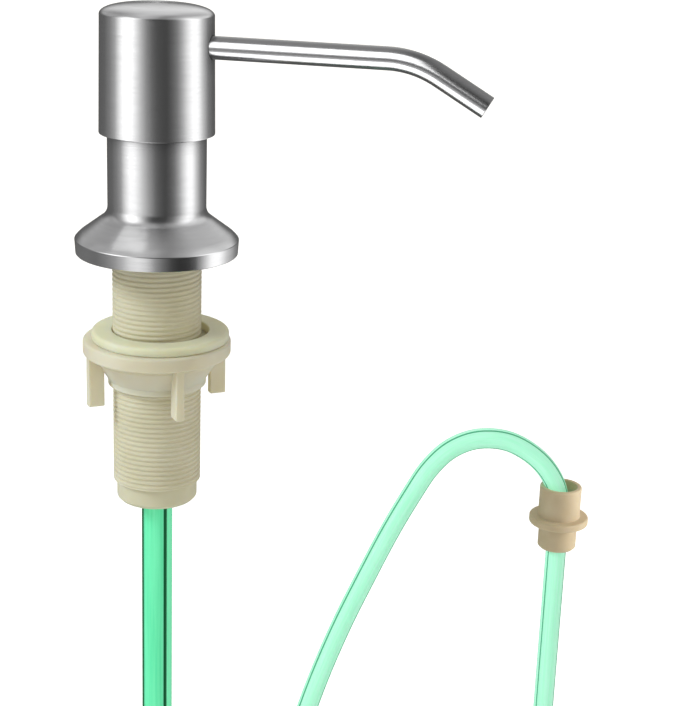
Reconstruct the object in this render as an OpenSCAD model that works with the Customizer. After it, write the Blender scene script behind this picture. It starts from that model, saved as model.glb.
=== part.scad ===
// Counter-mounted soap pump with a supply hose and a bottle stopper.
// Millimetres. The origin is on the counter top, at the centre of the base flange.
// +Z is up, and the spout points along +X, turned a little towards -Y.

/* [Head and spout] */
// Outer radius of the pump head at its lower edge
head_r = 17.75; // [17.4:0.05:18.4]
// Height of the head's lower edge above the counter
head_bottom_z = 37.5; // [36.5:0.5:38.5]
// Height of the head's side wall
head_wall_h = 35.8; // [35.4:0.2:38]
// Outer radius of the spout tube
spout_r = 3.5; // [3:0.1:4]
// Wall thickness of the spout tube
spout_wall = 0.8; // [0.5:0.1:1]
// Angle of the spout about the pump axis
spout_turn = -11; // [-30:1:30]
// Angle by which the straight part of the spout falls
spout_drop = 0; // [0:0.1:3]
// Angle by which the spout's end bends down further
spout_bend = 30; // [20:1:40]
// Radius of the bend in the spout, along its centre line
spout_bend_r = 31; // [20:1:40]
// Length of the straight part, from the pump axis to the bend
spout_reach = 70.5; // [50:0.5:110]
// Length of the straight end after the bend
spout_tip_h = 16.8; // [10:0.2:30]

/* [Base] */
// Outer radius of the collar's neck
collar_r = 15.25; // [15.1:0.05:15.5]
// Outer radius of the base flange
flange_r = 25.5; // [24:0.5:30]
// Height of the flange's upright rim
flange_rim_h = 4.6; // [3.2:0.2:5.4]
// Thickness of the rubber gasket under the flange
gasket_h = 1.2; // [0.8:0.1:1.6]

/* [Shank and nut] */
// Outer radius of the shank's thread
thread_r = 14; // [13.9:0.05:14]
// Pitch of the shank's thread
thread_pitch = 1.6; // [1.5:0.1:2.5]
// Depth of the shank's thread
thread_depth = 0.7; // [0.4:0.1:0.9]
// Length of the shank below the counter top
shank_h = 82; // [75:1:110]
// Depth of the washer's upper face below the counter top
washer_z = 24.8; // [10:0.2:28]
// Outer radius of the mounting nut's flange
nut_r = 23.4; // [22:0.1:26]

/* [Pump] */
// Downward stroke of the head
stroke = 15; // [8:1:15]
// Radius of the pump cylinder's bore
bore_r = 8; // [7.5:0.25:8.25]
// Outer radius of the pump stem
stem_r = 4; // [3.8:0.1:4.2]
// Diameter of the spring wire
spring_wire_d = 1.1; // [0.8:0.1:1.4]
// Number of turns of the spring
spring_turns = 9; // [6:1:11]

/* [Hose and stopper] */
// Outer diameter of the supply hose
hose_d = 10; // [9:0.5:10]
// Outer radius of the stopper's plug, which goes into the bottle's neck
plug_r = 9.25; // [9:0.25:11]
// Outer radius of the stopper's flange
stopper_flange_r = 14.3; // [13:0.1:18]

/* [Hidden] */

steel_color = [0.72, 0.72, 0.73];
ivory_color = [0.90, 0.89, 0.78];
white_color = [0.93, 0.94, 0.93];
rubber_color = [0.10, 0.10, 0.10];
hose_color = [0.45, 0.92, 0.70];
stopper_color = [0.86, 0.80, 0.68];

// Smoothness of round surfaces
round_fn = 96;
// Overshoot of a cutting shape past the face that it cuts
cut = 1;
// Radial clearance of a running fit
run_gap = 0.05;
// Gap between a valve ball and its seat
ball_gap = 0.05;

// Head
head_wall = 1.2;
head_taper = 0.45;
head_top_z = head_bottom_z + head_wall_h;
dome_h = 4.1;
dome_start = 6;
// 1 gives a true oval, and less gives it fuller shoulders
dome_power = 0.77;
spout_z = 64.3;
collar_top_z = 41;
core_bottom_z = collar_top_z + 2 + stroke;
core_r = head_r - head_wall - head_taper;
core_top_z = 70;
spout_inset = 8;
joint_h = 0.2;
joint_step = 0.01;

// Collar
collar_wall = 1.2;
collar_bore_r = collar_r - collar_wall;
flare_top_z = 15;
flare_r = 4.5;
flare_turn = 234;
rim_edge_r = 12;
rim_edge_turn = 38;

// Shank
shank_bore_r = 11.5;
shank_plain_h = 7;
shank_plain_r = thread_r - 1.1;
shank_top_z = 35;
shank_flange_h = 3;
shank_flange_r = 21.5;

// Washer and nut
washer_r = 21.7;
washer_bore_r = 15.3;
washer_h = 3;
washer_shift = 1.1;
nut_top_z = -washer_z - washer_h;
nut_flange_h = 4.7;
nut_hub_r = 19.5;
nut_end_r = 15.6;
nut_hub_h = 10.2;
wing_count = 4;
wing_turn = -65;
wing_inner_r = 17.7;
wing_outer_r = 22.9;
wing_w = 2.8;
wing_h = 16;

// Pump
housing_wall = 1.5;
housing_r = bore_r + housing_wall;
housing_top_z = shank_top_z + 3;
housing_floor_z = -40;
chamber_r = 4;
chamber_floor_z = -51;
chamber_wall = 2;
inlet_r = 2;
spigot_r = 3.5;
spigot_end_z = -72;
hose_top_z = -58;
inlet_ball_r = 3;
piston_bottom_z = 10;
piston_face_z = 16;
piston_top_z = 27.5;
piston_flange_h = 2;
guide_bottom_z = 28;
outlet_r = 1.2;
outlet_ball_r = 2;
stem_bore_r = 3;
stem_bottom_z = 18;
spring_r = 5.9;
spring_seat_z = -38.5;
spring_top_z = piston_face_z - piston_flange_h - spring_wire_d / 2;
spring_bottom_z = spring_seat_z + spring_wire_d / 2;

// Stopper
stopper_x = 168;
stopper_y = 244;
stopper_z = -188;
stopper_flange_h = 3.7;
stopper_boss_r = 10.1;
stopper_boss_h = 15.4;
stopper_plug_h = 13;
stopper_mouth_r = 8;

// Foot valve, on the hose's lower end
foot_z = -375;
foot_r = 7;
foot_h = 24;
foot_barb_h = 12;
foot_chamber_r = 4.5;
foot_chamber_h = 12;
foot_ball_r = 3;
strainer_h = 12;

// Points along the hose's centre line, from the pump's spigot to the foot valve
hose_route = [
    [0, 0, hose_top_z], [0, 0, -80], [0, 0, -110], [0, 0, -145], [0, 0, -185], [0, 0, -225],
    [0, 1, -265], [0, 4, -300], [2, 13, -333], [5, 31, -363], [9, 57, -386], [14, 88, -397],
    [19, 120, -394], [24, 148, -378], [30, 172, -353], [36, 191, -325], [43, 205, -298],
    [52, 216, -271], [63, 225, -244], [75, 233, -219], [86, 239, -197], [96, 243, -179],
    [104, 245, -166], [114, 246, -156], [127, 247, -151], [142, 247, -152], [156, 246, -160],
    [165, 245, -172], [168, 244, -186], [168, 244, -202], [168, 244, -225], [168, 244, -255],
    [168, 244, -290], [168, 244, -330], [168, 244, foot_z]
];

// ---- Shared functions and shapes ----

// Points on an arc in the r-z plane, for outlines that turn about Z
function arc(cx, cz, r, from, to, steps = 8) =
    [for (i = [0 : steps]) let (a = from + (to - from) * i / steps) [cx + r * cos(a), cz + r * sin(a)]];

// Points on the dome's oval of half-axes a and h, for outlines that turn about Z
function oval(a, h, cz, from, to, steps) =
    [for (i = [0 : steps]) let (t = from + (to - from) * i / steps)
        [a * pow(cos(t), dome_power), cz + h * pow(sin(t), dome_power)]];

// A point on the smooth curve between points i and i + 1 of a route, t from 0 to 1
function along(p, i, t) = let (
        n = len(p) - 1,
        a = i > 0 ? p[i - 1] : 2 * p[0] - p[1],
        b = p[i],
        c = p[i + 1],
        d = i + 2 <= n ? p[i + 2] : 2 * p[n] - p[n - 1]
    ) (2 * b + (c - a) * t + (2 * a - 5 * b + 4 * c - d) * t * t + (3 * b - a - 3 * c + d) * t * t * t) / 2;

// A whole route as a finer list of points, with a few steps between neighbours
function smooth(p, steps) = concat(
    [for (i = [0 : len(p) - 2], k = [0 : steps - 1]) along(p, i, k / steps)], [p[len(p) - 1]]);

function unit(v) = v / norm(v);

// The direction of a path at point i
function heading(p, i) = unit(p[min(i + 1, len(p) - 1)] - p[max(i - 1, 0)]);

// A side direction that stays square to the path as the path turns
function sides(p, i = 0, last = [1, 0, 0]) = i >= len(p) ? [] :
    let (h = heading(p, i), s = unit(last - (last * h) * h)) concat([s], sides(p, i + 1, s));

// One closed round tube of radius r along a path
module swept(p, r, n) {
    side = sides(p);
    points = [for (i = [0 : len(p) - 1]) let (h = heading(p, i), s = side[i], u = cross(h, s))
        for (k = [0 : n - 1]) p[i] + r * (cos(360 * k / n) * s + sin(360 * k / n) * u)];
    walls = [for (i = [0 : len(p) - 2], k = [0 : n - 1]) let (q = (k + 1) % n)
        [i * n + k, (i + 1) * n + k, (i + 1) * n + q, i * n + q]];
    ends = [[for (k = [0 : n - 1]) k], [for (k = [n - 1 : -1 : 0]) (len(p) - 1) * n + k]];
    polyhedron(points, concat(walls, ends), convexity = 10);
}

// A tube or ring that stands on height z
module ring(r, bore, z, h) {
    translate([0, 0, z])
        difference() {
            cylinder(r = r, h = h, $fn = round_fn);
            translate([0, 0, -cut]) cylinder(r = bore, h = h + 2 * cut, $fn = round_fn);
        }
}

module turned(points) {
    rotate_extrude($fn = round_fn) polygon(points);
}

// A row of shallow ring grooves, one for each turn of a thread
module thread_grooves(top_z, count) {
    for (i = [0 : count - 1])
        translate([0, 0, top_z - i * thread_pitch])
            turned([
                [thread_r - thread_depth, -thread_pitch * 0.15],
                [thread_r - thread_depth, thread_pitch * 0.15],
                [thread_r + 0.5, thread_pitch * 0.45],
                [thread_r + 0.5, -thread_pitch * 0.45]
            ]);
}

// A rod with a hair-thin ring at one end, which bridges the joint to its neighbour
module joined_rod(r, h, ring_z) {
    cylinder(r = r, h = h, $fn = 48);
    translate([0, 0, ring_z - joint_h / 2]) cylinder(r = r + joint_step, h = joint_h, $fn = 48);
}

// The spout's solid shape at radius r, lengthened by extra at both ends
module spout_solid(r, extra) {
    straight = spout_reach - spout_inset;
    translate([spout_inset, 0, spout_z - spout_inset * tan(spout_drop)])
        rotate([0, spout_drop, 0]) {
            translate([-extra, 0, 0]) rotate([0, 90, 0]) joined_rod(r, straight + extra, straight + extra);
            translate([straight, 0, -spout_bend_r]) {
                rotate([90, 0, 0]) rotate([0, 0, 90 - spout_bend])
                    rotate_extrude(angle = spout_bend, $fn = 96)
                        translate([spout_bend_r, 0]) circle(r = r, $fn = 48);
                rotate([0, spout_bend, 0]) translate([0, 0, spout_bend_r])
                    rotate([0, 90, 0]) joined_rod(r, spout_tip_h + extra, 0);
            }
        }
}

// Places children at the spout's inner end, with Z along the spout
module spout_seat() {
    rotate([0, 0, spout_turn])
        translate([spout_inset, 0, spout_z - spout_inset * tan(spout_drop)])
            rotate([0, 90 + spout_drop, 0]) children();
}

// ---- Head ----

// Deep-drawn steel cap with a domed top, open below, with a hole for the spout
module head_shell() {
    dome_r = (head_r - head_taper) / pow(cos(dome_start), dome_power);
    dome_z = head_top_z - dome_h * pow(sin(dome_start), dome_power);
    outline = concat(
        [[head_r - head_wall, head_bottom_z], [head_r, head_bottom_z]],
        oval(dome_r, dome_h, dome_z, dome_start, 90, 14),
        oval(dome_r - head_wall, dome_h - head_wall, dome_z, 90, dome_start, 10)
    );
    color(steel_color)
        difference() {
            turned(outline);
            translate([0, 0, spout_z]) rotate([0, 90 + spout_drop, spout_turn])
                cylinder(r = spout_r + run_gap, h = 2 * head_r, $fn = 48);
        }
}

// Moulded insert that joins the stem to the spout inside the cap
module head_core() {
    color(white_color)
        difference() {
            union() {
                translate([0, 0, core_bottom_z])
                    cylinder(r = core_r, h = core_top_z - core_bottom_z, $fn = round_fn);
                translate([0, 0, core_top_z - cut]) cylinder(r = 9, h = 3, $fn = round_fn);
            }
            translate([0, 0, core_bottom_z - cut]) cylinder(r = stem_r, h = 4 + cut, $fn = 48);
            translate([0, 0, core_bottom_z])
                cylinder(r = stem_bore_r, h = spout_z - core_bottom_z, $fn = 48);
            translate([0, 0, spout_z]) rotate([0, 90 + spout_drop, spout_turn])
                cylinder(r = spout_r - spout_wall, h = core_r + cut, $fn = 48);
            spout_seat() {
                cylinder(r = spout_r, h = core_r + cut, $fn = 48);
                translate([0, 0, 2.5]) cylinder(r = spout_r + 1.2, h = 1.6, $fn = 48);
            }
        }
}

// Bent steel outlet tube
module spout() {
    color(steel_color)
        rotate([0, 0, spout_turn])
            difference() {
                spout_solid(spout_r, 0);
                spout_solid(spout_r - spout_wall, cut);
            }
}

// Rubber ring that seals the spout in the core
module spout_o_ring() {
    color(rubber_color)
        spout_seat() translate([0, 0, 3.3])
            rotate_extrude($fn = 48) translate([spout_r + 0.6, 0]) circle(r = 0.6, $fn = 24);
}

// ---- Plunger ----

// Hollow rod from the piston to the head
module pump_stem() {
    color(white_color) ring(stem_r, stem_bore_r, stem_bottom_z, core_bottom_z + 4 - stem_bottom_z);
}

// Pierced stop above the outlet ball
module ball_stop() {
    color(white_color) ring(stem_bore_r, 1.4, 22.3, 2.5);
}

module outlet_ball() {
    centre_z = piston_face_z - outlet_r + outlet_ball_r * sqrt(2) + ball_gap;
    color(steel_color) translate([0, 0, centre_z]) sphere(r = outlet_ball_r, $fn = 48);
}

// Piston with the outlet valve's seat and the socket for the stem
module piston() {
    color(white_color)
        turned([
            [outlet_r, piston_bottom_z], [4.6, piston_bottom_z], [4.6, piston_face_z - piston_flange_h],
            [7.4, piston_face_z - piston_flange_h], [7.4, piston_face_z], [5.6, piston_face_z],
            [5.6, piston_top_z], [stem_r + run_gap, piston_top_z],
            [stem_r + run_gap, piston_face_z + stem_bore_r - outlet_r],
            [stem_bore_r, piston_face_z + stem_bore_r - outlet_r], [outlet_r, piston_face_z]
        ]);
}

// Double-lipped seal that slides in the cylinder
module piston_seal() {
    lip_r = bore_r - run_gap;
    color(white_color)
        turned([
            [5.6, piston_face_z], [6.4, piston_face_z], [lip_r, piston_face_z + 0.2],
            [lip_r, piston_face_z + 2], [7, piston_face_z + 4], [7, piston_face_z + 6],
            [lip_r, piston_face_z + 8], [lip_r, piston_face_z + 10], [7.2, piston_face_z + 10],
            [6.4, piston_face_z + 8], [5.6, piston_face_z + 8]
        ]);
}

// Wire spring that lifts the plunger
module return_spring() {
    steps = spring_turns * 12;
    rise = spring_top_z - spring_bottom_z;
    path = [for (i = [0 : steps]) let (t = i / steps, a = 360 * spring_turns * t)
        [spring_r * cos(a), spring_r * sin(a), spring_bottom_z + rise * t]];
    color(steel_color) swept(path, spring_wire_d / 2, 6);
}

// ---- Pump body ----

// Guide that closes the cylinder and steers the stem
module pump_closure() {
    rim_r = collar_bore_r - run_gap;
    color(white_color)
        turned([
            [stem_r + run_gap, guide_bottom_z], [bore_r - 0.6, guide_bottom_z],
            [bore_r - 0.6, housing_top_z], [rim_r, housing_top_z], [rim_r, collar_top_z - 0.5],
            [8, collar_top_z - 0.5], [6.5, collar_top_z + 1], [stem_r + 2.5, collar_top_z + 1],
            [stem_r + 2.5, collar_top_z - 1], [stem_r + run_gap, collar_top_z - 1]
        ]);
}

// Lip seal around the stem
module stem_wiper() {
    color(rubber_color) ring(stem_r + 2.5, stem_r + run_gap, collar_top_z - 1, 1.6);
}

// Pump cylinder, with the inlet valve's chamber and the hose spigot below
module pump_housing() {
    seat_h = chamber_r - inlet_r;
    color(white_color)
        turned([
            [inlet_r, spigot_end_z], [spigot_r - 0.5, spigot_end_z], [spigot_r, spigot_end_z + 2],
            [spigot_r, hose_top_z], [chamber_r + chamber_wall, hose_top_z],
            [chamber_r + chamber_wall, housing_floor_z - 4], [housing_r, housing_floor_z - 2],
            [housing_r, shank_top_z + 1], [13.4, shank_top_z + 1], [13.4, housing_top_z],
            [bore_r, housing_top_z], [bore_r, housing_floor_z], [chamber_r, housing_floor_z],
            [chamber_r, chamber_floor_z], [inlet_r, chamber_floor_z - seat_h]
        ]);
}

module housing_gasket() {
    color(rubber_color) ring(13.4, housing_r, shank_top_z, 1);
}

// Seat for the spring, with a cage that holds the inlet ball down
module spring_seat() {
    color(white_color)
        difference() {
            union() {
                ring(bore_r - 0.2, 2.2, housing_floor_z, 1.5);
                ring(chamber_r - 0.1, 2.2, housing_floor_z - 5, 5);
            }
            for (turn = [0, 90])
                rotate([0, 0, turn]) translate([-5, -0.8, housing_floor_z - 5 - cut])
                    cube([10, 1.6, 4 + cut]);
        }
}

module inlet_ball() {
    centre_z = chamber_floor_z - chamber_r + inlet_ball_r * sqrt(2) + ball_gap;
    color(steel_color) translate([0, 0, centre_z]) sphere(r = inlet_ball_r, $fn = 48);
}

// ---- Base ----

// Spun steel collar: a straight neck that flares out to the flange
module base_collar() {
    edge_x = flange_r - rim_edge_r * cos(rim_edge_turn);
    edge_z = flange_rim_h - rim_edge_r * sin(rim_edge_turn);
    outline = concat(
        [[collar_r, collar_top_z]],
        arc(collar_r + flare_r, flare_top_z, flare_r, 180, flare_turn),
        arc(edge_x, edge_z, rim_edge_r, 56, rim_edge_turn, 5),
        [[flange_r, 0], [flange_r - collar_wall, 0]],
        arc(flange_r - 2.2, flange_rim_h - 0.6, 1, 0, 62, 5),
        arc(collar_r + flare_r, flare_top_z, flare_r + collar_wall, flare_turn, 180),
        [[collar_bore_r, collar_top_z]]
    );
    color(steel_color) turned(outline);
}

module flange_gasket() {
    color(rubber_color) ring(shank_flange_r + 1.5, thread_r + 0.3, 0, gasket_h);
}

// Plastic shank: threaded below the counter, plain inside the collar
module threaded_shank() {
    thread_h = shank_h - shank_plain_h;
    turns = floor((thread_h - 4) / thread_pitch);
    tube_r = collar_bore_r - run_gap;
    color(ivory_color)
        difference() {
            turned([
                [shank_bore_r, -shank_h], [shank_plain_r - 1, -shank_h], [shank_plain_r, 1 - shank_h],
                [shank_plain_r, -thread_h], [thread_r, -thread_h], [thread_r, gasket_h],
                [shank_flange_r, gasket_h], [shank_flange_r, gasket_h + 1.6],
                [tube_r, gasket_h + shank_flange_h], [tube_r, shank_top_z], [shank_bore_r, shank_top_z]
            ]);
            thread_grooves(-2, turns);
        }
}

// Loose flat ring between the nut and the underside of the counter
module shank_washer() {
    edge = 0.8;
    color(ivory_color)
        translate([washer_shift, 0, -washer_z - washer_h])
            turned([
                [washer_bore_r, 0], [washer_r, 0], [washer_r, washer_h - edge],
                [washer_r - edge, washer_h], [washer_bore_r + edge, washer_h],
                [washer_bore_r, washer_h - edge]
            ]);
}

// Flanged nut with four finger wings
module mounting_nut() {
    bore = thread_r + run_gap;
    flange_bottom = nut_top_z - nut_flange_h;
    hub_bottom = flange_bottom - nut_hub_h;
    color(ivory_color)
        difference() {
            union() {
                turned([
                    [bore, hub_bottom], [nut_end_r, hub_bottom], [nut_end_r, hub_bottom + 2],
                    [nut_hub_r, flange_bottom - 2], [nut_hub_r, flange_bottom], [nut_r, flange_bottom],
                    [nut_r, nut_top_z], [bore, nut_top_z]
                ]);
                for (i = [0 : wing_count - 1])
                    rotate([0, 0, wing_turn + i * 360 / wing_count])
                        translate([wing_inner_r, -wing_w / 2, flange_bottom - wing_h])
                            cube([wing_outer_r - wing_inner_r, wing_w, wing_h + cut]);
            }
            translate([0, 0, hub_bottom - wing_h]) cylinder(r = bore, h = 60, $fn = round_fn);
        }
}

// ---- Hose, stopper and foot valve ----

module supply_hose() {
    color(hose_color) swept(smooth(hose_route, 2), hose_d / 2, 12);
}

// Stopper for the bottle's neck; the hose runs down through it
module bottle_stopper() {
    bore = hose_d / 2 + 0.1;
    boss_top = stopper_flange_h + stopper_boss_h;
    color(stopper_color)
        translate([stopper_x, stopper_y, stopper_z - stopper_flange_h])
            turned([
                [bore, -stopper_plug_h], [plug_r - 1, -stopper_plug_h], [plug_r, 1 - stopper_plug_h],
                [plug_r, 0], [stopper_flange_r, 0], [stopper_flange_r, stopper_flange_h],
                [stopper_boss_r, stopper_flange_h], [stopper_boss_r, boss_top - 0.5],
                [stopper_boss_r - 0.5, boss_top], [stopper_mouth_r, boss_top], [bore, stopper_flange_h]
            ]);
}

// Valve body with a spigot up into the hose
module foot_valve_body() {
    spigot = 3.4;
    passage = 2;
    chamber_top = -3;
    seat_z = chamber_top - foot_chamber_h;
    color(white_color)
        translate([stopper_x, stopper_y, foot_z])
            turned([
                [passage, foot_barb_h], [spigot - 0.4, foot_barb_h], [spigot, foot_barb_h - 2],
                [spigot, 0], [foot_r, 0], [foot_r, 4 - foot_h], [foot_r - 1, 4 - foot_h],
                [foot_r - 1, -foot_h], [passage, -foot_h], [passage, seat_z - foot_chamber_r + passage],
                [foot_chamber_r, seat_z], [foot_chamber_r, chamber_top - 1], [passage, chamber_top]
            ]);
}

module foot_valve_ball() {
    seat_z = -3 - foot_chamber_h - foot_chamber_r;
    centre_z = seat_z + foot_ball_r * sqrt(2) + ball_gap;
    color(steel_color)
        translate([stopper_x, stopper_y, foot_z + centre_z]) sphere(r = foot_ball_r, $fn = 48);
}

// Slotted cup that keeps dirt out of the valve
module foot_strainer() {
    slot_count = 6;
    color(white_color)
        translate([stopper_x, stopper_y, foot_z])
            difference() {
                translate([0, 0, 4 - foot_h - strainer_h]) cylinder(r = foot_r, h = strainer_h, $fn = 64);
                translate([0, 0, -foot_h - 6]) cylinder(r = foot_r - 1, h = 6 + 4 + cut, $fn = 64);
                for (i = [0 : slot_count / 2 - 1])
                    rotate([0, 0, i * 360 / slot_count]) translate([-foot_r - cut, -0.75, -foot_h - 5])
                        cube([2 * foot_r + 2 * cut, 1.5, 5]);
            }
}

head_shell();
head_core();
spout();
spout_o_ring();
pump_stem();
ball_stop();
outlet_ball();
piston();
piston_seal();
return_spring();
pump_closure();
stem_wiper();
pump_housing();
housing_gasket();
spring_seat();
inlet_ball();
base_collar();
flange_gasket();
threaded_shank();
shank_washer();
mounting_nut();
supply_hose();
bottle_stopper();
foot_valve_body();
foot_valve_ball();
foot_strainer();
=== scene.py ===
import math

import bmesh
import bpy
from mathutils import Matrix, Vector


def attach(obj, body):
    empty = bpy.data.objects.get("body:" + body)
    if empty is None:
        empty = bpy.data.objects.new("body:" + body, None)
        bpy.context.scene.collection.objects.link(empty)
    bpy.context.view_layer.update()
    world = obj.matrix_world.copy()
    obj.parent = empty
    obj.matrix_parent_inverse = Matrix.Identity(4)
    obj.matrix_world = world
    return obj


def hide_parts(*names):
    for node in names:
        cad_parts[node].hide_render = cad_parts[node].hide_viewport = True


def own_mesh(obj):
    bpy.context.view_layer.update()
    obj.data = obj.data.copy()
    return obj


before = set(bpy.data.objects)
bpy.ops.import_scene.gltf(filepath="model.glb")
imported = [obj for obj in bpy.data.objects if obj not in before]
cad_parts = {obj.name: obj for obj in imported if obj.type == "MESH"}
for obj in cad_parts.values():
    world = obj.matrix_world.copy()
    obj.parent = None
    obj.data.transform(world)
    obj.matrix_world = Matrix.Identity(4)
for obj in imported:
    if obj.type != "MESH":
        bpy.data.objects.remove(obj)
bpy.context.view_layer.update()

MM = 0.001
ROUND = 192  # points around a large turned piece

scene = bpy.context.scene
scene.view_settings.view_transform = "Standard"


# ---- Camera ----

camera = bpy.data.objects.new("camera", bpy.data.cameras.new("camera"))
scene.collection.objects.link(camera)
camera.data.lens = 83.6
camera.data.sensor_width = 36
camera.data.clip_start = 0.01
camera.data.clip_end = 50
right = Vector((0.99937, 0.01085, 0.0339))
up = Vector((-0.0356, 0.30467, 0.95179))
back = Vector((0, -0.9524, 0.30486))
turn = Matrix((right, up, back)).transposed().to_4x4()
camera.matrix_world = Matrix.Translation((0.05806, -0.49662, 0.12801)) @ turn
scene.camera = camera


# ---- Shader helpers ----

def add(tree, kind, inputs=None, **properties):
    """A new node; an input given as a socket is linked, and anything else is its value."""
    node = tree.nodes.new("ShaderNode" + kind)
    for key, value in properties.items():
        setattr(node, key, value)
    for key, value in (inputs or {}).items():
        if isinstance(value, bpy.types.NodeSocket):
            tree.links.new(value, node.inputs[key])
        else:
            node.inputs[key].default_value = value
    return node


def calc(tree, operation, a, b=0.0):
    return add(tree, "Math", {0: a, 1: b}, operation=operation).outputs[0]


def plus(tree, a, b):
    return calc(tree, "ADD", a, b)


def times(tree, a, b):
    return calc(tree, "MULTIPLY", a, b)


def split(tree, vector):
    """The x, y and z of a vector."""
    return add(tree, "SeparateXYZ", {0: vector}).outputs


def combined(tree, x, y, z=0.0):
    return add(tree, "CombineXYZ", {0: x, 1: y, 2: z}).outputs[0]


def ramp(tree, value, stops):
    """A colour ramp from (position, colour) stops, a colour being a grey or three numbers."""
    node = add(tree, "ValToRGB", {0: value})
    elements = node.color_ramp.elements
    while len(elements) < len(stops):
        elements.new(0.5)
    for element, (position, colour) in zip(elements, stops):
        if not hasattr(colour, "__len__"):
            colour = (colour,) * 3
        element.position = position
        element.color = (*colour, 1)
    return node.outputs["Color"]


def smooth_range(tree, value, low, high):
    """0 below low and 1 above high, with a soft step between."""
    node = add(tree, "MapRange", {0: value, 1: low, 2: high}, interpolation_type="SMOOTHSTEP")
    return node.outputs[0]


def mix(tree, share, a, b, blend="MIX"):
    """Colour a where share is 0, and b, or a blended with b, where it is 1."""
    node = add(tree, "Mix", {0: share, 6: a, 7: b}, data_type="RGBA", blend_type=blend)
    return node.outputs[2]


def noise(tree, vector, scale, detail=3.0, roughness=0.5):
    values = {"Vector": vector, "Scale": scale, "Detail": detail, "Roughness": roughness}
    return add(tree, "TexNoise", values).outputs[0]


def bump(tree, height, distance, strength=1.0):
    values = {"Height": height, "Distance": distance, "Strength": strength}
    return add(tree, "Bump", values).outputs[0]


def new_material(name, **values):
    """A material with one Principled shader; values are its sockets by name."""
    material = bpy.data.materials.new(name)
    material.use_nodes = True
    tree = material.node_tree
    shader = tree.nodes["Principled BSDF"]
    for key, value in values.items():
        shader.inputs[key.replace("_", " ")].default_value = value
    return material, tree, shader


def object_point(tree):
    return add(tree, "TexCoord").outputs["Object"]


def stretched(tree, x, y, z):
    """The object's own coordinates, each multiplied by its factor."""
    point = object_point(tree)
    return add(tree, "Mapping", {"Vector": point, "Scale": (x, y, z)}).outputs[0]


# ---- Materials ----

def turned_steel(name, blur=0.21, stretch=0.8):
    """Stainless steel with fine brush lines that run round a vertical axis, and painted shade where other
    parts crowd it, as under the head.
    """
    lines_up, lines_out, lines_round = 3000, 3600, 2.6
    shade_reach = 0.006
    material, tree, shader = new_material(
        name, Metallic=1.0, Anisotropic=stretch, Anisotropic_Rotation=0.25)
    x, y, z = split(tree, object_point(tree))
    radius = calc(tree, "SQRT", plus(tree, times(tree, x, x), times(tree, y, y)))
    side_x = calc(tree, "DIVIDE", x, radius)
    side_y = calc(tree, "DIVIDE", y, radius)
    along = plus(tree, times(tree, z, lines_up), times(tree, radius, lines_out))
    lines = combined(tree, times(tree, side_x, lines_round), times(tree, side_y, lines_round), along)
    fine = noise(tree, lines, 1.0, 4.0, 0.6)
    broad = noise(tree, combined(tree, side_x, side_y, times(tree, along, 0.1)), 1.0, 2.0)
    tone = plus(tree, times(tree, fine, 0.7), times(tree, broad, 0.3))
    metal = ramp(tree, tone, [(0.3, (0.68, 0.68, 0.685)), (0.7, (0.75, 0.75, 0.755))])
    # Painted shade: ambient occlusion darkens the base colour near other surfaces, as on the neck under the
    # head and round the spout's root.
    painted_shade = add(tree, "AmbientOcclusion", {"Color": metal, "Distance": shade_reach})
    tree.links.new(painted_shade.outputs["Color"], shader.inputs["Base Color"])
    tree.links.new(ramp(tree, tone, [(0.3, blur * 1.15), (0.7, blur * 0.9)]), shader.inputs["Roughness"])
    tree.links.new(bump(tree, fine, 0.00002, 0.15), shader.inputs["Normal"])
    tangent = add(tree, "Tangent", direction_type="RADIAL", axis="Z")
    tree.links.new(tangent.outputs[0], shader.inputs["Tangent"])
    return material


def tube_steel(name):
    """Polished stainless tube, with faint lines along it, its base colour kept far darker than the other
    steel as painted shade.
    """
    material, tree, shader = new_material(name, Metallic=1.0)
    lines = noise(tree, stretched(tree, 40, 2500, 2500), 1.0, 3.0, 0.6)
    # Painted shade: a dark copy of the steel's colour darkens the spout's reflections.
    tree.links.new(ramp(tree, lines, [(0.3, (0.27, 0.27, 0.273)), (0.7, (0.31, 0.31, 0.313))]),
                   shader.inputs["Base Color"])
    tree.links.new(ramp(tree, lines, [(0.3, 0.225), (0.7, 0.205)]), shader.inputs["Roughness"])
    tree.links.new(bump(tree, lines, 0.00001, 0.05), shader.inputs["Normal"])
    return material


def wire_steel(name):
    """Drawn spring wire or a bearing ball: smooth, with a faint mottle."""
    material, tree, shader = new_material(name, Metallic=1.0)
    mottle = noise(tree, object_point(tree), 900.0, 4.0)
    tree.links.new(ramp(tree, mottle, [(0.3, (0.55, 0.55, 0.56)), (0.7, (0.66, 0.66, 0.67))]),
                   shader.inputs["Base Color"])
    tree.links.new(ramp(tree, mottle, [(0.3, 0.3), (0.7, 0.2)]), shader.inputs["Roughness"])
    tree.links.new(bump(tree, mottle, 0.00002, 0.3), shader.inputs["Normal"])
    return material


def moulded_plastic(name, dark, light, roughness=0.45, scatter=0.3, depth=0.004):
    """Moulded plastic with a soft tone change, a fine grain and a little light below its surface."""
    material, tree, shader = new_material(
        name, Subsurface_Weight=scatter, Subsurface_Scale=depth, Subsurface_Radius=(1.0, 0.75, 0.4),
        IOR=1.46)
    point = object_point(tree)
    cloud = noise(tree, point, 70.0, 3.0)
    grain = noise(tree, point, 2600.0, 2.0)
    tree.links.new(ramp(tree, cloud, [(0.35, dark), (0.65, light)]), shader.inputs["Base Color"])
    tree.links.new(ramp(tree, grain, [(0.3, roughness + 0.08), (0.7, roughness - 0.06)]),
                   shader.inputs["Roughness"])
    height = plus(tree, times(tree, cloud, 2.0), times(tree, grain, 0.35))
    tree.links.new(bump(tree, height, 0.00006, 0.4), shader.inputs["Normal"])
    return material


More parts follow.
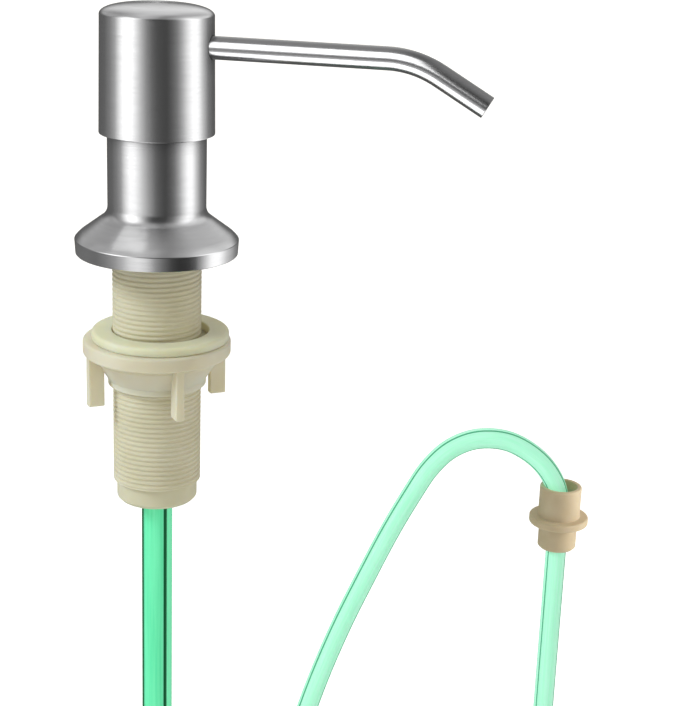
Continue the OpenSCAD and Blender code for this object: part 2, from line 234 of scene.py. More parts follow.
def soft_rubber(name):
    material, tree, shader = new_material(name, IOR=1.45)
    point = object_point(tree)
    grain = noise(tree, point, 1800.0, 3.0)
    tree.links.new(ramp(tree, grain, [(0.3, 0.012), (0.7, 0.024)]), shader.inputs["Base Color"])
    tree.links.new(ramp(tree, grain, [(0.3, 0.62), (0.7, 0.5)]), shader.inputs["Roughness"])
    tree.links.new(bump(tree, grain, 0.00005, 0.4), shader.inputs["Normal"])
    return material


def tinted_hose(name):
    """Clear vinyl hose full of green soap, with four lines of painted shade along it and a painted glow in
    its own colour.
    """
    material, tree, shader = new_material(
        name, Roughness=0.15, IOR=1.36, Transmission_Weight=0.08, Subsurface_Weight=0.2,
        Subsurface_Scale=0.001, Subsurface_Radius=(0.4, 1.0, 0.7))
    share, run, _ = split(tree, add(tree, "UVMap", uv_map="around").outputs[0])
    streak = noise(tree, combined(tree, times(tree, share, 40.0), times(tree, run, 1.5)), 1.0, 2.0)
    deep = ramp(tree, streak, [(0.3, (0.13, 0.80, 0.43)), (0.7, (0.19, 0.88, 0.51))])
    pale = ramp(tree, streak, [(0.3, (0.42, 0.92, 0.68)), (0.7, (0.52, 0.97, 0.77))])
    colour = mix(tree, smooth_range(tree, split(tree, object_point(tree))[1], 0.05, 0.16), deep, pale)
    # Each painted shade line's centre and half width, as shares of the way round the hose; the lines stand
    # in for the shade at the edges of the clear wall
    painted_dark_edges = [(0.141, 0.02), (0.425, 0.028)]
    painted_faint_edges = [(0.664, 0.016), (0.997, 0.022)]
    # Painted shade: both sets of lines darken the green, the second set less.
    for lines, shade_tint in ((painted_dark_edges, (0.0, 0.09, 0.03, 1)), (painted_faint_edges, (0.07, 0.38, 0.22, 1))):
        for centre, half in lines:
            gap = calc(tree, "ABSOLUTE", calc(tree, "SUBTRACT", share, centre))
            colour = mix(tree, smooth_range(tree, gap, half * 0.7, half * 1.3), shade_tint, colour)
    tree.links.new(colour, shader.inputs["Base Color"])
    # Painted light: the hose glows in its own colour, so it looks brighter than its lighting makes it.
    tree.links.new(colour, shader.inputs["Emission Color"])
    shader.inputs["Emission Strength"].default_value = 0.26
    tree.links.new(bump(tree, streak, 0.0001, 0.3), shader.inputs["Normal"])
    return material


STEEL = turned_steel("brushed_steel")
RIM_STEEL = turned_steel("rim_steel", 0.16, 0.3)
SPOUT_STEEL = tube_steel("spout_steel")
WIRE_STEEL = wire_steel("spring_steel")
IVORY = moulded_plastic("ivory_plastic", (0.71, 0.67, 0.49), (0.77, 0.73, 0.56))
NUT_IVORY = moulded_plastic("nut_plastic", (0.77, 0.72, 0.56), (0.82, 0.78, 0.63), 0.42, 0.5, 0.006)
WASHER_IVORY = moulded_plastic("washer_plastic", (0.89, 0.86, 0.58), (0.95, 0.93, 0.68), 0.4, 0.6, 0.006)
WHITE = moulded_plastic("white_plastic", (0.74, 0.75, 0.73), (0.82, 0.83, 0.81), 0.38)
BEIGE = moulded_plastic("beige_stopper", (0.62, 0.51, 0.34), (0.70, 0.59, 0.42), 0.5)
RUBBER = soft_rubber("black_rubber")
HOSE = tinted_hose("green_hose")


# ---- Mesh helpers ----

def finished(name, mesh, material, body, sharp=32, shade=None):
    """Cleans a mesh, marks its sharp edges, and makes it a piece that rides on a body.

    shade may give the exact normal at a point of a curved face, from the point and the face's normal.
    """
    work = bmesh.new()
    work.from_mesh(mesh)
    bmesh.ops.remove_doubles(work, verts=work.verts, dist=1e-7)
    bmesh.ops.recalc_face_normals(work, faces=work.faces)
    for face in work.faces:
        face.smooth = True
    for edge in work.edges:
        if edge.is_manifold and edge.calc_face_angle() > math.radians(sharp):
            edge.smooth = False
    work.to_mesh(mesh)
    work.free()
    piece = bpy.data.objects.new(name, mesh)
    scene.collection.objects.link(piece)
    mesh.materials.clear()
    mesh.materials.append(material)
    if shade:
        exact = [Vector(corner.vector) for corner in mesh.corner_normals]
        for face in mesh.polygons:
            for i in face.loop_indices:
                exact[i] = shade(mesh.vertices[mesh.loops[i].vertex_index].co, face.normal) or exact[i]
        mesh.normals_split_custom_set(exact)
    else:
        normals = piece.modifiers.new("even_normals", "WEIGHTED_NORMAL")
        normals.keep_sharp = True
    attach(piece, body)
    return piece


def skin(name, rings):
    """A closed mesh over a list of rings, in millimetres; the last ring joins the first."""
    count = len(rings[0])
    points = [Vector(p) * MM for ring in rings for p in ring]
    faces = []
    for i in range(len(rings)):
        a, b = i * count, (i + 1) % len(rings) * count
        for k in range(count):
            q = (k + 1) % count
            faces.append((a + k, a + q, b + q, b + k))
    mesh = bpy.data.meshes.new(name)
    mesh.from_pydata(points, [], faces)
    return mesh


def outline(corners, steps=5):
    """A closed outline from (radius, height, fillet) corners, each fillet as a short arc."""
    points = []
    for i, (r, z, fillet) in enumerate(corners):
        here = Vector((r, z))
        if not fillet:
            points.append(here)
            continue
        before = (Vector(corners[i - 1][:2]) - here).normalized()
        after = (Vector(corners[(i + 1) % len(corners)][:2]) - here).normalized()
        half = before.angle(after) / 2
        centre = here + (before + after).normalized() * fillet / math.sin(half)
        start = here + before * fillet / math.tan(half) - centre
        end = here + after * fillet / math.tan(half) - centre
        first = math.atan2(start.y, start.x)
        sweep = (math.atan2(end.y, end.x) - first + math.pi) % math.tau - math.pi
        for k in range(steps + 1):
            a = first + sweep * k / steps
            points.append(centre + Vector((math.cos(a), math.sin(a))) * fillet)
    return points


def turned(name, points, centre=(0, 0), count=ROUND, change=None):
    """Turns an outline of (radius, height) points about a vertical axis.

    change may alter a point by its angle.
    """
    rings = []
    for r, z in points:
        ring = []
        for k in range(count):
            a = math.tau * k / count
            rr, zz = change(r, z, a) if change else (r, z)
            ring.append((centre[0] + rr * math.cos(a), centre[1] + rr * math.sin(a), zz))
        rings.append(ring)
    return skin(name, rings)


def arc(cx, cz, r, start, end, steps=10):
    """Points on an arc, its angles in degrees."""
    angles = [math.radians(start + (end - start) * k / steps) for k in range(steps + 1)]
    return [(cx + r * math.cos(a), cz + r * math.sin(a)) for a in angles]


def frames(path):
    """(point, side, side, direction) along a path, turned as little as possible from point to point."""
    side = Vector((1, 0, 0))
    found = []
    for i, point in enumerate(path):
        way = (path[min(i + 1, len(path) - 1)] - path[max(i - 1, 0)]).normalized()
        side = (side - side.dot(way) * way).normalized()
        found.append((point, side, way.cross(side), way))
    return found


def swept(name, path, stations, count):
    """A closed skin round a path. stations are (index on the path, shift along it, radius)."""
    along = frames(path)
    rings = []
    for i, shift, r in stations:
        point, side, other, way = along[i]
        middle = point + way * shift
        rings.append([middle + r * (math.cos(a) * side + math.sin(a) * other)
                      for a in (math.tau * k / count for k in range(count))])
    return skin(name, rings)


def pipe_stations(last, outer, inner, lip):
    """Stations of a pipe with rounded lips at both ends."""
    bend = [math.radians(a) for a in (0, 30, 60, 90)]
    far = [(last, lip * math.sin(a) - lip, outer - lip + lip * math.cos(a)) for a in bend]
    far += [(last, lip * math.cos(a) - lip, inner + lip - lip * math.sin(a)) for a in bend]
    near = [(0, lip - lip * math.sin(a), inner + lip - lip * math.cos(a)) for a in bend]
    near += [(0, lip - lip * math.cos(a), outer - lip + lip * math.sin(a)) for a in bend]
    out = [(i, 0, outer) for i in range(1, last)]
    home = [(i, 0, inner) for i in range(last - 1, 0, -1)]
    return out + far + home + near


def spline(route, steps):
    """A finer path through a route's points."""
    points = [Vector(p) for p in route]
    points = [2 * points[0] - points[1], *points, 2 * points[-1] - points[-2]]
    path = []
    for a, b, c, d in zip(points, points[1:], points[2:], points[3:]):
        for k in range(steps):
            t = k / steps
            path.append((2 * b + (c - a) * t + (2 * a - 5 * b + 4 * c - d) * t * t
                         + (3 * b - a - 3 * c + d) * t * t * t) / 2)
    return [*path, points[-2]]


def joined(name, meshes, operation="UNION"):
    """One mesh from the first mesh and the others, by exact booleans."""
    base = bpy.data.objects.new(name, meshes[0])
    scene.collection.objects.link(base)
    for k, other in enumerate(meshes[1:]):
        tool = bpy.data.objects.new(f"{name}_tool_{k}", other)
        scene.collection.objects.link(tool)
        step = base.modifiers.new("cut", "BOOLEAN")
        step.operation = operation
        step.solver = "EXACT"
        step.object = tool
    evaluated = base.evaluated_get(bpy.context.evaluated_depsgraph_get())
    result = bpy.data.meshes.new_from_object(evaluated)
    for step in base.modifiers:
        bpy.data.objects.remove(step.object)
    bpy.data.objects.remove(base)
    return result


def outward(mesh):
    """Turns a closed mesh's faces outward, as a boolean needs."""
    work = bmesh.new()
    work.from_mesh(mesh)
    bmesh.ops.remove_doubles(work, verts=work.verts, dist=1e-7)
    bmesh.ops.recalc_face_normals(work, faces=work.faces)
    work.to_mesh(mesh)
    work.free()
    return mesh


# ---- Hose ----

HOSE_R = 5
HOSE_BORE_R = 3.8
HOSE_SIDES = 40
HOSE_ROUTE = [
    (0, 0, -58), (0, 0, -80), (0, 0, -110), (0, 0, -145), (0, 0, -185), (0, 0, -225),
    (0, 1, -265), (0, 4, -300), (2, 13, -333), (5, 31, -363), (9, 57, -386), (14, 88, -397),
    (19, 120, -394), (24, 148, -378), (30, 172, -353), (36, 191, -325), (43, 205, -298),
    (52, 216, -271), (63, 225, -244), (75, 233, -219), (86, 239, -197), (96, 243, -179),
    (104, 245, -166), (114, 246, -156), (127, 247, -151), (142, 247, -152), (156, 246, -160),
    (165, 245, -172), (168, 244, -186), (168, 244, -202), (168, 244, -225), (168, 244, -255),
    (168, 244, -290), (168, 244, -330), (168, 244, -375),
]
hose_path = spline(HOSE_ROUTE, 6)


def hose_mesh():
    """The hose, with a map of the share of the way round it and the run along it."""
    stations = pipe_stations(len(hose_path) - 1, HOSE_R, HOSE_BORE_R, 0.3)
    mesh = swept("supply_hose_tube", hose_path, stations, HOSE_SIDES)
    layer = mesh.uv_layers.new(name="around")
    for polygon in mesh.polygons:
        corners = [mesh.loops[i].vertex_index for i in polygon.loop_indices]
        sides = {v % HOSE_SIDES for v in corners}
        wraps = {0, HOSE_SIDES - 1} <= sides
        for i, v in zip(polygon.loop_indices, corners):
            share = v % HOSE_SIDES / HOSE_SIDES
            if wraps and share < 0.5:
                share += 1
            layer.data[i].uv = (share, stations[v // HOSE_SIDES][0] / 10)
    return mesh


hose = finished("supply_hose_tube", hose_mesh(), HOSE, "base")
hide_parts("supply_hose")


# ---- Stopper and foot valve ----

STOPPER_CENTRE = (168, 244)
STOPPER_Z = -188  # the top of its collar


def stopper_mesh():
    bore_r, plug_r, collar_r, cup_r, cup_inner_r = 5.1, 9.25, 14.3, 10.1, 8
    plug_z = STOPPER_Z - 16.7
    collar_z = STOPPER_Z - 3.7
    cup_z = STOPPER_Z + 15.4
    profile = outline([
        (bore_r, plug_z, 0.2), (plug_r - 1, plug_z, 0.3), (plug_r, plug_z + 1, 0.4),
        (plug_r, collar_z, 0.3), (collar_r, collar_z, 0.8), (collar_r, STOPPER_Z, 0.8),
        (cup_r, STOPPER_Z, 0.5), (cup_r, cup_z, 0.7), (cup_inner_r, cup_z, 0.4), (bore_r, STOPPER_Z, 0.3)])
    return turned("stopper_moulding", profile, STOPPER_CENTRE, 96)


stopper = finished("stopper_moulding", stopper_mesh(), BEIGE, "base")
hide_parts("bottle_stopper")


# ---- Head and spout ----

HEAD_R = 17.75
HEAD_TOP_R = 17.3
HEAD_Z = 37.5
HEAD_TOP_Z = 73.3
HEAD_WALL = 1.2
DOME_H = 4.1
DOME_START = 6
DOME_POWER = 0.77  # 1 gives a true oval, and less gives it fuller shoulders
SPOUT_R = 3.5
SPOUT_Z = 64.3
SPOUT_TURN = math.radians(-11)
SPOUT_WAY = Vector((math.cos(SPOUT_TURN), math.sin(SPOUT_TURN), 0))


def oval(a, h, centre_z, start, end, steps):
    """Points on the dome's oval of half-axes a and h, its angles in degrees."""
    angles = [math.radians(start + (end - start) * k / steps) for k in range(steps + 1)]
    return [(a * abs(math.cos(t)) ** DOME_POWER, centre_z + h * math.sin(t) ** DOME_POWER)
            for t in angles]


def head_mesh():
    """The cap, closer rows of points making the shoulder of its dome."""
    edge, soft, rows, shoulder = 0.3, 0.08, 24, 40
    start = math.radians(DOME_START)
    dome_r = HEAD_TOP_R / math.cos(start) ** DOME_POWER
    dome_z = HEAD_TOP_Z - DOME_H * math.sin(start) ** DOME_POWER
    height = HEAD_TOP_Z - HEAD_Z
    inner_r = HEAD_R - HEAD_WALL
    points = [(HEAD_R - edge, HEAD_Z), (HEAD_R - soft, HEAD_Z + soft), (HEAD_R, HEAD_Z + edge)]
    points += [(HEAD_R + (HEAD_TOP_R - HEAD_R) * k / rows, HEAD_Z + height * k / rows)
               for k in range(1, rows)]
    points += [(HEAD_TOP_R + 0.01, HEAD_TOP_Z - 0.1)]
    points += oval(dome_r, DOME_H, dome_z, DOME_START + 0.6, shoulder, 14)[:-1]
    points += oval(dome_r, DOME_H, dome_z, shoulder, 90, 14)
    points += oval(dome_r - HEAD_WALL, DOME_H - HEAD_WALL, dome_z, 90, DOME_START, 12)
    points += [(inner_r, HEAD_Z + edge), (inner_r + soft, HEAD_Z + soft), (inner_r + edge, HEAD_Z)]
    return outward(turned("head_cap", points))


def spout_hole():
    """The hole's cutter, a little wider than the spout."""
    inset, depth, gap = 10, 12, 0.16
    start = SPOUT_WAY * inset + Vector((0, 0, SPOUT_Z))
    path = [start, start + SPOUT_WAY * depth]
    r = SPOUT_R + gap
    return outward(swept("hole", path, [(0, 0, 0), (0, 0, r), (1, 0, r), (1, 0, 0)], 96))


def wall_normal(point, face_normal):
    """The exact normal of the head's outer wall, so that the hole leaves no mark in its shading."""
    outside = Vector((point.x, point.y, 0))
    if outside.length < 0.9 * HEAD_TOP_R * MM or outside.dot(face_normal) < 0.9 * outside.length:
        return None
    lean = (HEAD_R - HEAD_TOP_R) / (HEAD_TOP_Z - HEAD_Z)
    if not HEAD_Z + 0.25 < point.z / MM < HEAD_TOP_Z - 0.05:
        return None
    return (outside.normalized() + Vector((0, 0, lean))).normalized()


cap = joined("head_cap", [head_mesh(), spout_hole()], "DIFFERENCE")
head = finished("head_cap", cap, STEEL, "head", 18, wall_normal)
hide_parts("head_shell")


def spout_path():
    """Straight out of the head, round one bend, then straight down the tip."""
    inset, reach, bend_r, bend, tip = 8, 70.5, 31, math.radians(30), 16.8
    straight_steps, bend_steps, tip_steps = 24, 16, 8
    start = SPOUT_WAY * inset + Vector((0, 0, SPOUT_Z))
    down = Vector((0, 0, -1))
    path = [start + SPOUT_WAY * (reach - inset) * k / straight_steps for k in range(straight_steps + 1)]
    corner = path[-1] + down * bend_r
    for k in range(1, bend_steps + 1):
        a = bend * k / bend_steps
        path.append(corner + bend_r * (SPOUT_WAY * math.sin(a) - down * math.cos(a)))
    last = SPOUT_WAY * math.cos(bend) + down * math.sin(bend)
    end = path[-1]
    path += [end + last * tip * k / tip_steps for k in range(1, tip_steps + 1)]
    return path


spout_line = spout_path()
spout_stations = pipe_stations(len(spout_line) - 1, SPOUT_R, SPOUT_R - 0.8, 0.15)
spout = finished("spout_tube", swept("spout_tube", spout_line, spout_stations, 64), SPOUT_STEEL, "head")
spout.visible_glossy = False
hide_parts("spout")


# ---- Collar ----

RIM_H = 4.6
FLANGE_R = 25.5


def collar_mesh():
    """A straight neck, a flare out of it, and a flange with an upright rim."""
    neck_r, bore_r, top_z, flare_z, flare_r = 15.25, 14.05, 41, 15, 4.5
    wall, edge_r, edge_turn, rim_lean = 1.2, 12, 38, 0.3
    edge_x = FLANGE_R - edge_r * math.cos(math.radians(edge_turn))
    edge_z = RIM_H - edge_r * math.sin(math.radians(edge_turn))
    rows = 10
    points = [(bore_r + 0.2, top_z), (neck_r - 0.2, top_z), (neck_r, top_z - 0.2)]
    points += [(neck_r, top_z - (top_z - flare_z) * k / rows) for k in range(1, rows)]
    points += arc(neck_r + flare_r, flare_z, flare_r, 180, 234, 14)
    points += arc(edge_x, edge_z, edge_r, 56, edge_turn + 0.6, 10)
    points += [(FLANGE_R, RIM_H - 0.12), (FLANGE_R - rim_lean + 0.02, 0.2), (FLANGE_R - rim_lean - 0.18, 0),
               (FLANGE_R - wall - 0.1, 0)]
    points += arc(FLANGE_R - 2.2, RIM_H - 0.6, 1, 0, 62, 6)
    points += arc(neck_r + flare_r, flare_z, flare_r + wall, 234, 180, 10)
    points += [(bore_r, top_z - 0.2)]
    return turned("flange_collar", points)


collar = finished("flange_collar", collar_mesh(), STEEL, "base", 18)
collar.data.materials.append(RIM_STEEL)
for face in collar.data.polygons:
    if face.center.z < RIM_H * MM and face.center.xy.length > (FLANGE_R - 0.5) * MM:
        face.material_index = 1
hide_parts("base_collar")


# ---- Shank, washer and nut ----

THREAD_R = 14
THREAD_DEPTH = 0.38
THREAD_PITCH = 1.6
THREAD_TOP = -1.5
THREAD_END = -75
FADE_TOP = 7  # how far down the thread grows to its full depth
FADE_END = 0.8
SHANK_END = -82


def threaded(r, z, a):
    """Cuts a rounded helical groove into the points of the thread."""
    if r != THREAD_R:
        return r, z
    phase = (z / THREAD_PITCH - a / math.tau) % 1
    wave = 0.5 - 0.5 * math.cos(math.tau * phase)
    groove = min(1, max(0, 1.5 * wave - 0.35))  # flat on the crests and at the roots
    fade = min(1, max(0, (THREAD_TOP - z) / FADE_TOP)) * min(1, max(0, (z - THREAD_END) / FADE_END))
    return r - THREAD_DEPTH * groove * fade, z


def shank_mesh():
    """A plain foot, the thread, a flange that the collar hides, and a sleeve up into the collar."""
    plain_r, bore_r, flange_r, sleeve_top, edge = 12.9, 11.5, 21.5, 35, 0.2
    flange_z, flange_h, slope_h = 1.2, 1.6, 1.6
    rows_per_turn = 12
    foot = [(bore_r, SHANK_END + edge), (bore_r + edge, SHANK_END), (plain_r - 1.2, SHANK_END),
            (plain_r - 0.9, SHANK_END + 0.1), (plain_r - 0.1, SHANK_END + 0.95),
            (plain_r, SHANK_END + 1.3)]
    step = [(plain_r, THREAD_END - 0.3), (plain_r + 0.1, THREAD_END - 0.06),
            (THREAD_R - 0.3, THREAD_END - 0.02)]
    rows = int((THREAD_TOP - THREAD_END) / THREAD_PITCH * rows_per_turn)
    thread = [(THREAD_R, THREAD_END + (THREAD_TOP - THREAD_END) * k / rows) for k in range(rows + 1)]
    top = [(THREAD_R, flange_z), (flange_r - edge, flange_z), (flange_r, flange_z + edge),
           (flange_r, flange_z + flange_h - edge), (flange_r - edge, flange_z + flange_h),
           (THREAD_R, flange_z + flange_h + slope_h), (THREAD_R, sleeve_top), (bore_r, sleeve_top)]
    return turned("shank_moulding", foot + step + thread + top, count=120, change=threaded)


shank = finished("shank_moulding", shank_mesh(), IVORY, "base", 50)
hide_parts("threaded_shank")

WASHER_TOP = -24.8
WASHER_H = 3
WASHER_CENTRE = (1.1, 0)  # the loose ring lies to one side
WASHER_WAVE = 0.05


def warped(r, z, a):
    """A slight wave in the washer, down from its CAD height."""
    return r, z + WASHER_WAVE * math.cos(2 * a + 0.6) - WASHER_WAVE


def washer_mesh():
    bore_r, outer_r = 15.3, 21.7
    low_z = WASHER_TOP - WASHER_H + 2 * WASHER_WAVE
    profile = outline([(bore_r, low_z, 0.3), (outer_r, low_z, 0.5), (outer_r, WASHER_TOP, 1.1),
                       (bore_r, WASHER_TOP, 0.4)])
    return turned("washer_ring", profile, WASHER_CENTRE, change=warped)


washer = finished("washer_ring", washer_mesh(), WASHER_IVORY, "washer")
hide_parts("shank_washer")

NUT_TOP = WASHER_TOP - WASHER_H
FLANGE_BOTTOM = NUT_TOP - 4.7
HUB_BOTTOM = FLANGE_BOTTOM - 10.2
WING_BOTTOM = FLANGE_BOTTOM - 16
WING_TOP = FLANGE_BOTTOM + 0.5
FIRST_WING = -65  # degrees from +X


def wing(turn):
    """One finger wing, a slab with rounded edges that widens a little downward."""
    inner_r, outer_r, rounding = 17.7, 22.9, 0.35
    work = bmesh.new()
    for z, half_width in ((WING_BOTTOM, 1.45), (WING_TOP, 1.3)):
        for x in (inner_r, outer_r):
            for y in (-half_width, half_width):
                work.verts.new(Vector((x, y, z)) * MM)
    bmesh.ops.convex_hull(work, input=work.verts)
    bmesh.ops.dissolve_limit(work, angle_limit=0.01, verts=work.verts, edges=work.edges)
    bmesh.ops.bevel(work, geom=work.edges[:], offset=rounding * MM, segments=3, affect="EDGES", profile=0.5)
    bmesh.ops.recalc_face_normals(work, faces=work.faces)
    bmesh.ops.transform(work, matrix=Matrix.Rotation(math.radians(turn), 4, "Z"), verts=work.verts)
    mesh = bpy.data.meshes.new("wing")
    work.to_mesh(mesh)
    work.free()
    return mesh


def nut_mesh():
    """A flange on a tapered hub, with four wings under the flange."""
    bore_r, hub_r, shoulder_r, flange_r, straight_h = 14.05, 15.6, 19.5, 23.4, 2
    profile = outline([
        (bore_r, HUB_BOTTOM, 0.2), (hub_r, HUB_BOTTOM, 0.4), (hub_r, HUB_BOTTOM + straight_h, 0.5),
        (shoulder_r, FLANGE_BOTTOM - straight_h, 0.8), (shoulder_r, FLANGE_BOTTOM, 0.4),
        (flange_r, FLANGE_BOTTOM, 0.7), (flange_r, NUT_TOP, 0.9), (bore_r, NUT_TOP, 0.2)])
    wings = [wing(FIRST_WING + 90 * k) for k in range(4)]
    return joined("nut_moulding", [outward(turned("nut_body", profile)), *wings])


nut = finished("nut_moulding", nut_mesh(), NUT_IVORY, "nut")
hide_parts("mounting_nut")


# ---- Spring ----

SPRING_R = 5.9
SPRING_LOW = -37.95
SPRING_HIGH = 13.45
SPRING_TURNS = 9
SPRING_STEPS = SPRING_TURNS * 32
WIRE_R = 0.55


def spring_mesh():
    """A coil of round wire with flat ends."""
    path = []
    for k in range(SPRING_STEPS + 1):
        t = k / SPRING_STEPS
        a = math.tau * SPRING_TURNS * t
        z = SPRING_LOW + (SPRING_HIGH - SPRING_LOW) * t
        path.append(Vector((SPRING_R * math.cos(a), SPRING_R * math.sin(a), z)))
    wire = [(i, 0, WIRE_R) for i in range(SPRING_STEPS + 1)]
    return swept("spring_coil", path, [(0, 0, 0), *wire, (SPRING_STEPS, 0, 0)], 16)


spring = finished("spring_coil", spring_mesh(), WIRE_STEEL, "base")
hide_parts("return_spring")
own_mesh(spring)


# ---- Carried-over CAD nodes ----

FINISHES = {
    "head_core": WHITE, "pump_stem": WHITE, "ball_stop": WHITE, "piston": WHITE,
    "piston_seal": WHITE, "pump_closure": WHITE, "pump_housing": WHITE, "spring_seat": WHITE,
    "foot_valve_body": WHITE, "foot_strainer": WHITE, "spout_o_ring": RUBBER,
    "stem_wiper": RUBBER, "housing_gasket": RUBBER, "flange_gasket": RUBBER,
    "outlet_ball": WIRE_STEEL, "inlet_ball": WIRE_STEEL, "foot_valve_ball": WIRE_STEEL,
}
for name, material in FINISHES.items():
    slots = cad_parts[name].data.materials
    if not slots:
        slots.append(material)
    for i in range(len(slots)):
        slots[i] = material


# ---- Floor, lights and surroundings ----

FLOOR_Z = -0.412
FLOOR_HALF = 20
SEEN_WHITE = (1.0, 1.0, 1.0, 1)
AMBIENT = (0.48, 0.46, 0.41, 1)
UNDER = (0.25, 0.25, 0.25, 1)


def seen_directly(tree):
    """1 for the camera's own rays and for those that pass through clear plastic."""
    path = add(tree, "LightPath").outputs
    return calc(tree, "MAXIMUM", path["Is Camera Ray"], path["Is Transmission Ray"])


floor_mesh = bpy.data.meshes.new("floor")
floor_corners = [(x * FLOOR_HALF, y * FLOOR_HALF, FLOOR_Z) for x, y in ((-1, -1), (1, -1), (1, 1), (-1, 1))]
floor_mesh.from_pydata(floor_corners, [], [(0, 1, 2, 3)])
floor = bpy.data.objects.new("floor", floor_mesh)
scene.collection.objects.link(floor)
floor_material, floor_tree, floor_shader = new_material(
    "floor", Base_Color=(0.9, 0.9, 0.9, 1), Roughness=0.9, Emission_Color=(1, 1, 1, 1))
floor_glow = add(floor_tree, "MapRange", {0: seen_directly(floor_tree), 3: 0.1, 4: 0.75})
floor_tree.links.new(floor_glow.outputs[0], floor_shader.inputs["Emission Strength"])
floor_mesh.materials.append(floor_material)
floor.visible_glossy = False


def softbox(name, place, target, size, power, colour=(1, 1, 1)):
    """An area light that metal doesn't mirror."""
    light = bpy.data.lights.new(name, "AREA")
    light.shape = "RECTANGLE"
    light.size, light.size_y = size
    light.energy = power
    light.color = colour
    lamp = bpy.data.objects.new(name, light)
    scene.collection.objects.link(lamp)
    lamp.location = place
    lamp.rotation_euler = (Vector(target) - Vector(place)).to_track_quat("-Z", "Y").to_euler()
    lamp.visible_camera = False
    lamp.visible_glossy = False
    lamp.visible_transmission = False
    return lamp


def linked(lamp, piece, state="INCLUDE"):
    """Makes a lamp light one piece alone, or with EXCLUDE all but that piece."""
    group = bpy.data.collections.new(lamp.name + "_receivers")
    group.objects.link(piece)
    group.collection_objects[0].light_linking.link_state = state
    lamp.light_linking.receiver_collection = group


def panel(name, azimuth, elevation, size, power, piece, target):
    """A bright panel that one piece alone mirrors. Angles are in degrees, with azimuth 0 towards -Y."""
    distance = 0.6
    a, e = math.radians(azimuth), math.radians(elevation)
    way = Vector((math.sin(a) * math.cos(e), -math.cos(a) * math.cos(e), math.sin(e)))
    lamp = softbox(name, Vector(target) + way * distance, target, size, power)
    lamp.visible_glossy = True
    linked(lamp, piece)


SPOUT_MIDDLE = (0.05, -0.01, 0.064)
COLLAR_FLARE = (-0.01, -0.01, 0.01)
STOPPER_MIDDLE = (0.168, 0.244, -0.18)

# The stopper stands in softer, warmer light than the pump
key = softbox("key", (-0.95, -0.45, 0.85), (0, 0, -0.05), (0.4, 0.4), 9.6, (0.88, 0.95, 1.0))
linked(key, stopper, "EXCLUDE")
softbox("fill", (1.2, -0.6, 0.5), (0.1, 0.1, -0.1), (0.9, 0.9), 1)
side = softbox("stopper_side", (0.8, 0.15, -0.05), STOPPER_MIDDLE, (0.3, 0.3), 3.2, (1.0, 0.97, 0.93))
linked(side, stopper)
panel("spout_strip_high", -22, 35, (0.4, 0.6), 3.3, spout, SPOUT_MIDDLE)
panel("spout_strip_low", -22, -57, (0.9, 0.54), 6.6, spout, SPOUT_MIDDLE)
panel("collar_strip", -112, 69, (0.3, 0.3), 0.11, collar, COLLAR_FLARE)


def by_angle(tree, value, levels):
    """Brightness by an angle in degrees, from -180 to 180, given as a value from 0 to 1."""
    return ramp(tree, value, [((degrees + 180) / 360, level) for degrees, level in levels])


def by_share(tree, value, levels):
    """Brightness by a direction's share of one axis, from -1 to 1, given as a value from 0 to 1."""
    return ramp(tree, value, [((share + 1) / 2, level) for share, level in levels])


def turn_share(tree, a, b):
    """The angle of (a, b), from 0 at -180 degrees to 1 at 180."""
    return calc(tree, "ADD", calc(tree, "DIVIDE", calc(tree, "ARCTAN2", a, b), math.tau), 0.5)


# Brightness of what the metal mirrors, by the direction's angle or its share of the x axis.
# The banks stand round the part, by azimuth from the front; the low banks lie under them.
BANKS = [
    (-180, 0.13), (-147, 0.12), (-118, 0.15), (-99, 0.28), (-84, 0.53), (-70, 1.4), (-58, 2.0),
    (-46, 1.85), (-35, 1.18), (-25, 0.6), (-14, 0.21), (-4, 0.08), (6, 0.06), (26, 0.07), (36, 0.15),
    (47, 0.29), (58, 0.64), (69, 1.15), (81, 1.55), (94, 1.45), (109, 0.65), (127, 0.22), (152, 0.12),
    (180, 0.13)]
LOW_BANKS = [
    (-180, 0.2), (-109, 0.2), (-90, 0.16), (-72, 0.17), (-57, 0.26), (-44, 0.52), (-32, 0.96),
    (-20, 1.1), (-8, 0.88), (4, 0.38), (15, 0.19), (27, 0.07), (38, 0.03), (53, 0.03), (63, 0.07),
    (76, 0.55), (91, 1.4), (106, 1.5), (124, 0.85), (150, 0.4), (180, 0.2)]
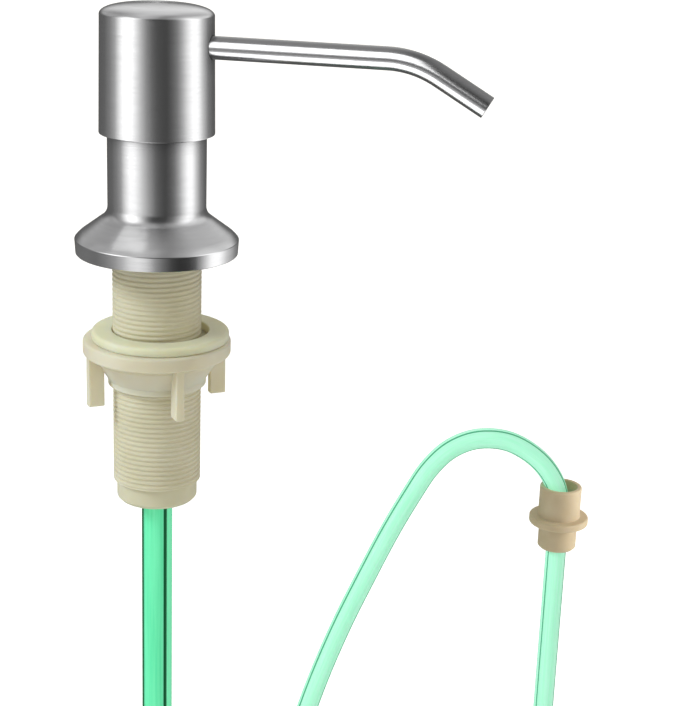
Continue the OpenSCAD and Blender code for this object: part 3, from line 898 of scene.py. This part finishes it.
# The ceiling runs from the front over to the back, and two gains shade it from left to right.
CEILING = [
    (-180, 0.2), (0, 0.3), (30, 0.32), (50, 0.42), (100, 0.5), (120, 0.75), (140, 0.85), (155, 1.0),
    (180, 1.0)]
TOP_GAIN = [
    (-0.9, 0.9), (-0.6, 0.85), (-0.45, 1.05), (-0.3, 1.45), (-0.2, 1.4), (-0.1, 1.2), (0, 1.05),
    (0.1, 0.75), (0.2, 0.65), (0.28, 0.75), (0.4, 1.0), (0.5, 1.15), (0.62, 1.6), (0.8, 1.6)]
BACK_GAIN = [
    (-0.9, 0.5), (-0.6, 0.55), (-0.5, 0.4), (-0.37, 0.6), (-0.26, 0.85), (-0.15, 1.0), (0.05, 1.0),
    (0.2, 0.75), (0.45, 0.65), (0.65, 1.0), (1.0, 1.0)]


def studio():
    """Soft light for matt surfaces, and for polished ones the banks of a studio all round."""
    world = bpy.data.worlds.new("studio")
    scene.world = world
    world.use_nodes = True
    tree = world.node_tree
    x, y, z = split(tree, add(tree, "TexCoord").outputs["Generated"])
    front = times(tree, y, -1)
    across = turn_share(tree, x, front)
    banks = by_angle(tree, across, BANKS)
    low_banks = by_angle(tree, across, LOW_BANKS)
    ceiling = by_angle(tree, turn_share(tree, z, front), CEILING)
    share = plus(tree, times(tree, x, 0.5), 0.5)
    gain = mix(tree, smooth_range(tree, y, 0.15, 0.45), by_share(tree, share, TOP_GAIN),
               by_share(tree, share, BACK_GAIN))
    ceiling = mix(tree, 1.0, ceiling, gain, "MULTIPLY")
    # The ceiling starts higher in front than behind
    lift = times(tree, calc(tree, "SUBTRACT", 1.0, smooth_range(tree, y, -0.1, 0.4)), 0.45)
    high = smooth_range(tree, calc(tree, "SUBTRACT", z, lift), 0.08, 0.38)
    low = smooth_range(tree, z, -0.23, -0.31)
    under = smooth_range(tree, z, -0.62, -0.75)
    mirrored = mix(tree, high, mix(tree, low, banks, low_banks), ceiling)
    mirrored = mix(tree, under, mirrored, UNDER)
    soft = mix(tree, seen_directly(tree), AMBIENT, SEEN_WHITE)
    glossy = add(tree, "LightPath").outputs["Is Glossy Ray"]
    tree.links.new(mix(tree, glossy, soft, mirrored), tree.nodes["Background"].inputs[0])


studio()
